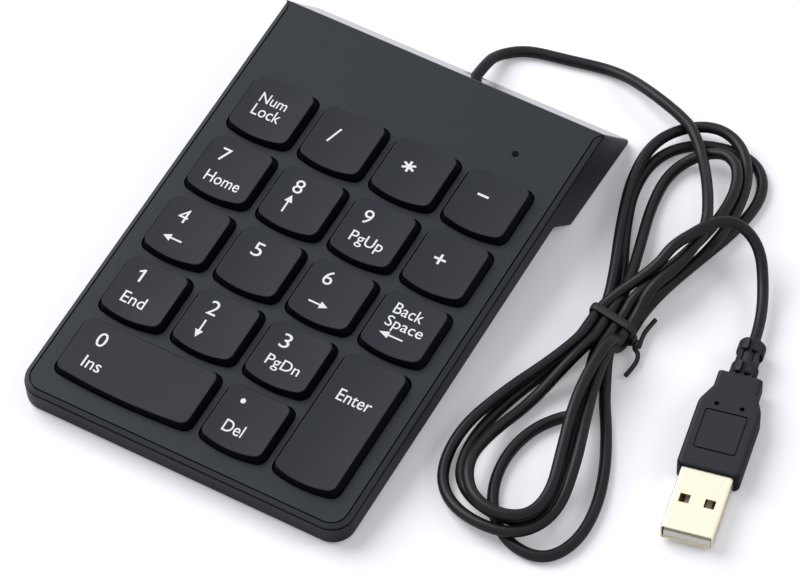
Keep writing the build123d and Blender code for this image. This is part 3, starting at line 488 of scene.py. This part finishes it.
# %% The stretches of the cord, in plan
stretches = {
    "lead": ([(2.7, 61.6), (2.7, 69.5), (3.2, 75.2), (8.2, 79.8), (17.5, 81.6), (30.2, 84.4),
              (41.7, 79.3), (53.6, 75.3), (57.7, 71.7), (62.4, 66.4), (68.5, 56.6), (73.3, 46.9),
              (72.8, 34.6), (69.7, 25.6), (tie_columns[3], tie_rear)],
             {0: cord_exit[2], 1: cord_exit[2], -1: tie_layers[1]}),
    "low_1": tied_loop((3, 1), (1, 1), tie_front, (68.8, -45.6), 8.9, -12.1, 5.0, 1.9),
    "high_1": tied_loop((1, 2), (1, 1), tie_rear, (64.3, 71.7), -9.4, 8.9, 2.5, 1.5),
    "low_2": tied_loop((2, 0), (1, 0), tie_front, (71.1, -44.4), 7.4, -16.2, 2.6, 1.5),
    "high_2": tied_loop((0, 2), (0, 0), tie_rear, (59.7, 78.8), -12.4, 13.9, 1.7, 0.8),
    "low_3": tied_loop((2, 1), (0, 0), tie_front, (80.2, -48.3), 9.1, -14.4, 0.9, 0.2,
                       neck=((73.1, -1.9), (71.0, -9.6))),
    "high_3": tied_loop((1, 3), (0, 0), tie_rear, (66.7, 76.5), -17.0, 11.0, 1.6, 2.6),
    "low_4": tied_loop((3, 0), (0, 1), tie_front, (70.1, -48.1), 10.8, -18.8, 2.7, 1.6),
    "tail": ([(tie_columns[0], tie_rear), (68.5, 31.2), (69.4, 36.5), (72.2, 42.6), (74.9, 47.9),
              (79.6, 50.8), (86.2, 48.8), (91.2, 40.9), (94.89, 32.02), (96.13, 26.15)],
             {0: tie_layers[1], -2: 3.25, -1: 3.25}),
}
laid_down = ("low_3", "high_3", "low_2", "low_4", "high_2", "low_1", "high_1", "lead", "tail")
print("cord stretches", {name: len(plan) for name, (plan, held) in stretches.items()})

# %% [markdown]
# ## How the loops lie on each other
#
# The loops were laid on the desk one after the other, and each new one rests on what is already
# there. `over` finds where two runs come nearest in plan. Where they are closer than one
# thickness, both ends of the new run are lifted so that it clears the old one, which gives a
# hump with a flat top. A hump then spreads, because a cord is too stiff to drop at once.

# %% Heights of the cord's points
cord_clearance = 0.05
hump_slope = 0.45
own_runs_skipped = 3            # a run always touches the runs just before it


def over(a, b, c, d):
    """How near runs a-b and c-d come in plan, and where along c-d that is, from 0 to 1."""
    run, other, gap = b - a, d - c, c - a
    cross = run.x * other.y - run.y * other.x
    if abs(cross) > 1e-9:
        t = (gap.x * other.y - gap.y * other.x) / cross
        u = (gap.x * run.y - gap.y * run.x) / cross
        if 0 <= t <= 1 and 0 <= u <= 1:
            return 0.0, u
    found = []
    for point in (a, b):
        u = min(1.0, max(0.0, (point - c).dot(other) / other.length_squared))
        found.append(((point - c - other * u).length, u))
    for point, u in ((c, 0.0), (d, 1.0)):
        t = min(1.0, max(0.0, (point - a).dot(run) / run.length_squared))
        found.append(((point - a - run * t).length, u))
    return min(found)


def runs_of(points, z):
    """The straight runs from each point to the next, with the heights of their ends."""
    return list(zip(points, points[1:], z, z[1:]))


def lay(name, older_runs):
    """A stretch's points in plan and their heights, resting on the older runs."""
    plan, held = stretches[name]
    points = [Vector(place) for place in plan]
    count = len(points)
    fixed = {index % count: height for index, height in held.items()}
    z = [fixed.get(k, cord_thickness / 2 + cord_clearance) for k in range(count)]
    own_runs = []
    for i in range(count - 1):
        need = 0.0
        for c, d, low, high in older_runs + own_runs[:max(0, i - own_runs_skipped)]:
            near, share = over(points[i], points[i + 1], c, d)
            if near < cord_thickness:
                rise = math.sqrt(cord_thickness ** 2 - near ** 2)
                need = max(need, low + (high - low) * share + rise)
        for k in (i, i + 1):
            if k not in fixed:
                z[k] = max(z[k], need)
        own_runs = runs_of(points[:i + 2], z)
    for order, back in ((range(1, count), -1), (range(count - 2, -1, -1), 1)):
        for k in order:
            if k not in fixed:
                drop = hump_slope * (points[k] - points[k + back]).length
                z[k] = max(z[k], z[k + back] - drop)
    return points, z


heights = {}
laid_runs = []
for name in laid_down:
    points, heights[name] = lay(name, laid_runs)
    laid_runs += runs_of(points, heights[name])
cord_points = []
for name, (plan, held) in stretches.items():
    cord_points += [(x * MM, y * MM, z * MM) for (x, y), z in zip(plan, heights[name])]
print("cord points", len(cord_points), "highest", round(max(p[2] for p in cord_points) / MM, 1))

# %% [markdown]
# A curve object with a round bevel is the natural way to make a cord: its own line is the
# cord's middle, and it stays smooth at any zoom. The spline's order is set after its points are
# in, because an empty spline can't hold it. The jacket comes smooth out of its die, so its
# grain is very faint, and it is one of the darkest plastics here.

# %% Make the cord
def round_section(piece, radius):
    """Make a curve one smooth line from end to end and give it a round section."""
    for spline in piece.data.splines:
        spline.order_u = 3
        spline.use_endpoint_u = True
    piece.data.resolution_u = 6
    piece.data.bevel_depth = radius * MM
    piece.data.bevel_resolution = 4
    piece.data.use_fill_caps = True


cord = new_curve("cord", "NURBS", "3D", [cord_points])
round_section(cord, cord_thickness / 2)
cord.data.materials.append(moulded("pvc_cord_jacket", "#0d0f14", 0.4, 0.6, 0.004, specular=0.25))
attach(cord, "case")
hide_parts("cable_lead", "cable_hank", "cable_plug_lead")

# %% [markdown]
# ## The tie
#
# The hank is held by a twist tie: a flat band of plastic with a wire in it. It goes once round
# the cords, a little askew, and its two ends are twisted together and then left sticking out.
# The band starts as a torus, whose ring is laid along a rounded rectangle round the cords and
# whose section is flattened. The ends are two curves that wind round each other.

# %% The band
tie_centre = (65.5, 15.9, 3.33)
tie_half = (5.95, 3.0)
tie_corner = 1.7
tie_skew = -0.16
band_half_width = 1.05
band_half_thickness = 0.32
torus_tube = 0.25               # the torus's tube, on a ring of radius 1


def round_the_cords(turn):
    """Where the band's middle is at a turn, and which way is out, in X and Z."""
    x, z = math.cos(turn), math.sin(turn)
    flat_x, flat_z = tie_half[0] - tie_corner, tie_half[1] - tie_corner
    stretch = 1 / max(abs(x) / tie_half[0], abs(z) / tie_half[1])
    at = Vector((x * stretch, z * stretch))
    core = Vector((max(-flat_x, min(flat_x, at.x)), max(-flat_z, min(flat_z, at.y))))
    out = (at - core).normalized()
    return core + out * tie_corner, out


clear_selection()
bpy.ops.mesh.primitive_torus_add(major_segments=96, minor_segments=16, major_radius=1.0,
                                 minor_radius=torus_tube, location=(0, 0, 0))
band = bpy.context.object
band.name = "tie_band"
for vertex in band.data.vertices:
    ring = math.hypot(vertex.co.x, vertex.co.y)
    at, out = round_the_cords(math.atan2(vertex.co.y, vertex.co.x))
    at = at + out * (ring - 1) / torus_tube * band_half_thickness
    across = vertex.co.z / torus_tube * band_half_width
    vertex.co = Vector((tie_centre[0] + at.x, tie_centre[1] + tie_skew * at.x + across,
                        tie_centre[2] + at.y)) * MM
bpy.ops.object.shade_smooth()
print("tie band", len(band.data.vertices), "vertices")

# %% Its two twisted ends
tie_end_radius = 0.55
twist_from = Vector((70.6, 14.9, 4.7))
twist_to = Vector((73.2, 13.3, 2.2))
twist_turns = 1.6
twist_steps = 16
loose_ends = (
    [(73.0, 15.6, 2.3), (72.6, 18.4, 2.4), (73.0, 22.6, 2.0)],
    [(74.2, 12.3, 1.8), (74.9, 9.6, 1.4), (74.2, 5.9, 1.0)],
)


def twisted_end(name, phase, loose):
    """One end of the tie: half of the twist, and then the loose tip."""
    axis = twist_to - twist_from
    side = axis.cross(Vector((0, 0, 1))).normalized()
    up = axis.cross(side).normalized()
    points = []
    for k in range(twist_steps + 1):
        share = k / twist_steps
        turn = phase + 2 * math.pi * twist_turns * share
        arm = (side * math.cos(turn) + up * math.sin(turn)) * tie_end_radius
        points.append(twist_from + axis * share + arm)
    points += [Vector(point) for point in loose]
    end = new_curve(name, "NURBS", "3D", [[point * MM for point in points]])
    round_section(end, tie_end_radius)
    return as_mesh(end)


twists = [twisted_end("tie_end_a", 0.0, loose_ends[0]),
          twisted_end("tie_end_b", math.pi, loose_ends[1])]
# The tie's coat is plastic that is pressed round the wire, dull and nearly black.
tie_coat = moulded("plastic_clad_tie", "#14161a", 0.5, 0.3, 0.02, specular=0.3)
for piece in [band] + twists:
    piece.data.materials.clear()
    piece.data.materials.append(tie_coat)
    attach(piece, "case")
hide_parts("twist_tie")
print("tie ends", [len(piece.data.vertices) for piece in twists])

# %% [markdown]

# %% [markdown]
# ## The legends
#
# Legends on keys like these are pad-printed: a soft pad presses a thin layer of white ink onto
# the hollow top of each key. So each legend is a very thin solid that follows the hollow. The
# letters come from Blender's own plain font and are fitted to the narrow letters that are used
# on keypads, and the signs and arrows are drawn as outlines.
#
# Each key has its column, its row, how many columns and rows it takes up, and its marks. A
# mark's numbers are its left edge, the height of its foot, its width and the height of its
# capitals, in millimetres from the middle of its key.

# %% What is printed on each key
key_prints = {
    "num_lock": (0, 0, 1, 1, [("Num", -4.1, 0.9, 7.0, 2.8), ("Lock", -4.1, -2.95, 7.25, 3.05)]),
    "divide": (1, 0, 1, 1, [("/", -3.45, -1.6, 1.9, 4.3)]),
    "multiply": (2, 0, 1, 1, [("star", -3.4, -0.75, 3.3, 3.1)]),
    "minus": (3, 0, 1, 1, [("bar", -3.05, 1.2, 2.85, 0.6)]),
    "7": (0, 1, 1, 1, [("7", -4.35, 1.25, 2.4, 3.65), ("Home", -4.35, -4.95, 9.0, 3.0)]),
    "8": (1, 1, 1, 1, [("8", -3.55, 1.35, 2.4, 3.7), ("up", -3.55, -4.5, 2.0, 5.0)]),
    "9": (2, 1, 1, 1, [("9", -4.25, 1.35, 2.3, 3.8), ("PgUp", -4.25, -4.1, 8.5, 2.9)]),
    "plus": (3, 1, 1, 1, [("cross", -3.3, -0.75, 3.0, 2.9)]),
    "4": (0, 2, 1, 1, [("4", -3.95, 1.2, 2.45, 3.8), ("left", -4.35, -4.5, 4.85, 2.0)]),
    "5": (1, 2, 1, 1, [("5", -3.15, 1.05, 2.45, 3.75)]),
    "6": (2, 2, 1, 1, [("6", -3.85, 1.75, 2.35, 3.7), ("right", -3.8, -4.6, 4.95, 1.95)]),
    "backspace": (3, 2, 1, 1, [("Back", -4.35, 2.25, 7.3, 2.95), ("Space", -4.5, -1.4, 9.45, 2.8),
                               ("left", -4.45, -4.45, 6.05, 1.85)]),
    "1": (0, 3, 1, 1, [("one", -3.85, 1.7, 1.45, 3.6), ("End", -3.95, -4.55, 5.95, 3.1)]),
    "2": (1, 3, 1, 1, [("2", -3.8, 1.5, 2.4, 3.9), ("down", -3.6, -5.15, 2.0, 5.1)]),
    "3": (2, 3, 1, 1, [("3", -3.8, 1.5, 2.3, 3.8), ("PgDn", -4.25, -3.8, 8.5, 2.8)]),
    "enter": (3, 3, 1, 2, [("Enter", -4.25, 4.75, 8.55, 3.15)]),
    "0": (0, 4, 2, 1, [("0", -12.4, 1.5, 2.45, 3.7), ("Ins", -12.1, -4.7, 4.65, 3.15)]),
    "decimal": (2, 4, 1, 1, [("dot", -3.75, 3.5, 1.25, 1.35), ("Del", -3.85, -4.55, 5.05, 3.15)]),
}
print("keys with a legend", len(key_prints))

# %% [markdown]
# The deck slopes, so it is easier to place things on it as if it were level, in millimetres, and
# then to turn and lift them all with one matrix. On the deck, Y counts from the case's front
# edge, and Z from the top of the face plate.

# %% The deck and the keys' places on it
key_pitch = 19.0
key_columns = 4
first_key_y = 90.85             # the middle of the rear row
deck_slope = 5.0                # degrees
deck_middle = 67.143            # from the case's front edge to the frame's origin
deck_lift = 6.874               # the face plate's top over the desk, at the front edge
deck_matrix = (Matrix.Scale(MM, 4) @ Matrix.Translation((0, -deck_middle, deck_lift))
               @ Matrix.Rotation(math.radians(deck_slope), 4, "X"))


def key_middle(column, row, wide, tall):
    """The middle of a key on the deck."""
    return ((column + (wide - key_columns) / 2) * key_pitch,
            first_key_y - (row + (tall - 1) / 2) * key_pitch)


print("deck slopes by", deck_slope, "degrees")


# %% Outlines of the signs and arrows, in a box one unit wide and one high
def arc(x, y, radius, start, turn, steps):
    """Points on part of a circle, or all round it, without the last one."""
    return [(x + radius * math.cos(start + turn * k / steps),
             y + radius * math.sin(start + turn * k / steps)) for k in range(steps)]


def arrow_outline(head, half_shaft):
    """An arrow that points up, with a short solid head."""
    return [(0.5, 1), (1, 1 - head), (0.5 + half_shaft, 1 - head), (0.5 + half_shaft, 0),
            (0.5 - half_shaft, 0), (0.5 - half_shaft, 1 - head), (0, 1 - head)]


def star_outline(arms, half_arm):
    """Straight arms round a middle, as a multiplication sign has them."""
    made = []
    inner = half_arm / math.sin(math.pi / arms)
    for k in range(arms):
        turn = math.pi / 2 + 2 * math.pi * k / arms
        along = Vector((math.cos(turn), math.sin(turn)))
        aside = Vector((-along.y, along.x)) * half_arm
        between = turn + math.pi / arms
        made += [tuple(along * 0.5 - aside), tuple(along * 0.5 + aside),
                 (inner * math.cos(between), inner * math.sin(between))]
    return [(x + 0.5, y + 0.5) for x, y in made]


up_arrow = arrow_outline(0.4, 0.11)
signs = {
    "up": up_arrow,
    "down": [(x, 1 - y) for x, y in up_arrow],
    "left": [(1 - y, x) for x, y in up_arrow],
    "right": [(y, x) for x, y in up_arrow],
    "one": [(1, 0), (1, 1), (0.7, 1), (0, 0.8), (0, 0.66), (0.62, 0.78), (0.62, 0)],
    "star": star_outline(6, 0.09),
    "cross": star_outline(4, 0.1),
    "bar": [(0, 0), (1, 0), (1, 1), (0, 1)],
    "dot": arc(0.5, 0.5, 0.5, 0, 2 * math.pi, 24),
}
print("signs", {name: len(outline) for name, outline in signs.items()})

# %% [markdown]
# A word or a sign starts as a flat filled shape one unit high. `fitted` turns it into a mesh
# and fits it to its box, and `on_cap` then bends it to the hollow of its key and sets it on the
# sloping deck. The capital H of the font gives the height that all its capitals share. Words
# are drawn a trace bolder than single digits, as small print is.

# %% Make one mark
word_boldness = 0.003
cap_top_width = 15.3
cap_top_height = 2.3
cap_hollow = 0.3
ink_depth = 0.02                # into the cap
ink_height = 0.03               # above the cap


def flat_text(words, boldness):
    """Words as a solid one unit thick, in the font's own size."""
    clear_selection()
    bpy.ops.object.text_add(location=(0, 0, 0))
    text = bpy.context.object
    text.data.body = words
    text.data.offset = boldness
    text.data.extrude = 0.5
    text.data.resolution_u = 4
    return as_mesh(text)


def flat_solid(name, outlines, thickness):
    """A filled outline, with any holes in it, as a solid of this thickness."""
    routes = [[(x, y, 0.0) for x, y in outline] for outline in outlines]
    piece = new_curve(name, "POLY", "2D", routes)
    piece.data.fill_mode = "BOTH"
    piece.data.extrude = thickness / 2
    for spline in piece.data.splines:
        spline.use_cyclic_u = True
    return as_mesh(piece)


def span(mesh, axis):
    """The lowest and the highest place of a mesh along an axis."""
    found = [vertex.co[axis] for vertex in mesh.vertices]
    return min(found), max(found)


capital = flat_text("H", 0.0)
capital_height = span(capital.data, 1)[1]
bpy.data.objects.remove(capital)


def fitted(mark, left, foot, width, height):
    """A mark as a mesh in its key's own millimetres."""
    if mark in signs:
        piece, tall = flat_solid(mark, [signs[mark]], 1.0), 1.0
    else:
        piece, tall = flat_text(mark, 0.0 if len(mark) == 1 else word_boldness), capital_height
    low, high = span(piece.data, 0)
    for vertex in piece.data.vertices:
        vertex.co.x = left + (vertex.co.x - low) * width / (high - low)
        vertex.co.y = foot + vertex.co.y * height / tall
    return piece


def on_cap(piece, column, row, wide, tall):
    """Bend a mark to the hollow of its key and set it on the deck."""
    x, y = key_middle(column, row, wide, tall)
    half = (cap_top_width + (wide - 1) * key_pitch) / 2
    hollow_radius = (half ** 2 + cap_hollow ** 2) / (2 * cap_hollow)
    for vertex in piece.data.vertices:
        along = vertex.co.x
        surface = cap_top_height - cap_hollow + along ** 2 / (2 * hollow_radius)
        level = ink_height if vertex.co.z > 0 else -ink_depth
        vertex.co = deck_matrix @ Vector((x + along, y + vertex.co.y, surface + level))


print("capitals are", round(capital_height, 3), "of the font's size")

# %% Print every key
ink = moulded("pad_printed_ink", "#eceeed", 0.45, 0.3, 0.002)
for name, (column, row, wide, tall, marks) in key_prints.items():
    made = [fitted(*mark) for mark in marks]
    for piece in made:
        on_cap(piece, column, row, wide, tall)
    pick(*made)
    if len(made) > 1:
        bpy.ops.object.join()
    legend = made[0]
    legend.name = "legend_" + name
    legend.data.materials.clear()
    legend.data.materials.append(ink)
    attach(legend, "key_" + name)
print("printed", len(key_prints), "keys")

# %% [markdown]
# ## The indicator's window
#
# A smoked window lies flush over the light guide. It is a very low cylinder, a little wider
# than the hole, set on the deck behind the minus key.

# %% Indicator window
window_radius = 0.85
window_thickness = 0.08
window_place = (27.0, 107.2, 0.0)

clear_selection()
bpy.ops.mesh.primitive_cylinder_add(
    vertices=48, radius=window_radius * MM, depth=window_thickness * MM,
    location=deck_matrix @ Vector(window_place), rotation=(math.radians(deck_slope), 0, 0))
window = bpy.context.object
window.name = "indicator_window"
settle(window)
window.data.materials.append(moulded("smoked_window", "#020203", 0.3, 0.5, 0.001, specular=0.08))
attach(window, "case")
print("indicator window", [round(v / MM, 1) for v in window.dimensions])

# %% [markdown]
# ## The rubber domes
#
# Under the keys lies a thin silicone mat with a hollow dome for each key. Pressing a key
# buckles its own dome and no other, and a mat made as one mesh couldn't do that. So the sheet is
# one piece and each dome is another. The sheet is a flat outline with a round hole under each
# dome.
#
# One dome is modelled in millimetres and copied to every key. It is a cone with a flat top, open
# below, and Solidify gives it a wall.

# %% The mat's sheet
mat_top = -4.6
mat_thickness = 0.4
mat_half_width = 36.0
mat_front = 4.5
mat_rear = 100.5
mat_corner = 3.0
corner_steps = 8
dome_base = 3.1
dome_wall = 0.35
dome_steps = 40

mat_side = mat_half_width - mat_corner
mat_corners = [(mat_side, mat_rear - mat_corner), (-mat_side, mat_rear - mat_corner),
               (-mat_side, mat_front + mat_corner), (mat_side, mat_front + mat_corner)]
mat_edge = [point for quarter, (x, y) in enumerate(mat_corners)
            for point in arc(x, y, mat_corner, quarter * math.pi / 2, math.pi / 2, corner_steps)]
mat_holes = [arc(*key_middle(*place), dome_base - dome_wall, 0, 2 * math.pi, dome_steps)
             for *place, marks in key_prints.values()]
mat_sheet = flat_solid("mat_sheet", [mat_edge] + mat_holes, mat_thickness)
mat_sheet.data.transform(deck_matrix @ Matrix.Translation((0, 0, mat_top - mat_thickness / 2)))
mat_sheet.data.materials.clear()
mat_sheet.data.materials.append(dome_rubber)
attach(mat_sheet, "case")
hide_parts("dome_mat")
print("mat sheet", len(mat_holes), "holes,", len(mat_sheet.data.polygons), "faces")

# %% One dome
dome_top = 1.7
dome_height = 2.2

clear_selection()
bpy.ops.mesh.primitive_cone_add(vertices=dome_steps, radius1=dome_base, radius2=dome_top,
                                depth=dome_height, location=(0, 0, dome_height / 2))
first_dome = bpy.context.object
bpy.ops.object.mode_set(mode="EDIT")
bpy.ops.mesh.select_mode(type="FACE")
bpy.ops.mesh.select_all(action="DESELECT")
bpy.ops.object.mode_set(mode="OBJECT")
for face in first_dome.data.polygons:
    face.select = face.normal.z < -0.9
bpy.ops.object.mode_set(mode="EDIT")
bpy.ops.mesh.delete(type="FACE")
bpy.ops.object.mode_set(mode="OBJECT")
wall = first_dome.modifiers.new("wall", "SOLIDIFY")
wall.thickness = dome_wall
wall.offset = -1
bpy.ops.object.modifier_apply(modifier=wall.name)
settle(first_dome)
first_dome.data.materials.append(dome_rubber)
print("first dome", len(first_dome.data.polygons), "faces")

for name, (*place, marks) in key_prints.items():
    foot = Vector((*key_middle(*place), mat_top))
    dome = first_dome.copy()
    dome.name = "dome_" + name
    dome.data = first_dome.data.copy()
    dome.data.transform(deck_matrix @ Matrix.Translation(foot))
    bpy.context.collection.objects.link(dome)
    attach(dome, "case")
    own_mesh(dome)
bpy.data.objects.remove(first_dome)
print("domes", len(key_prints))
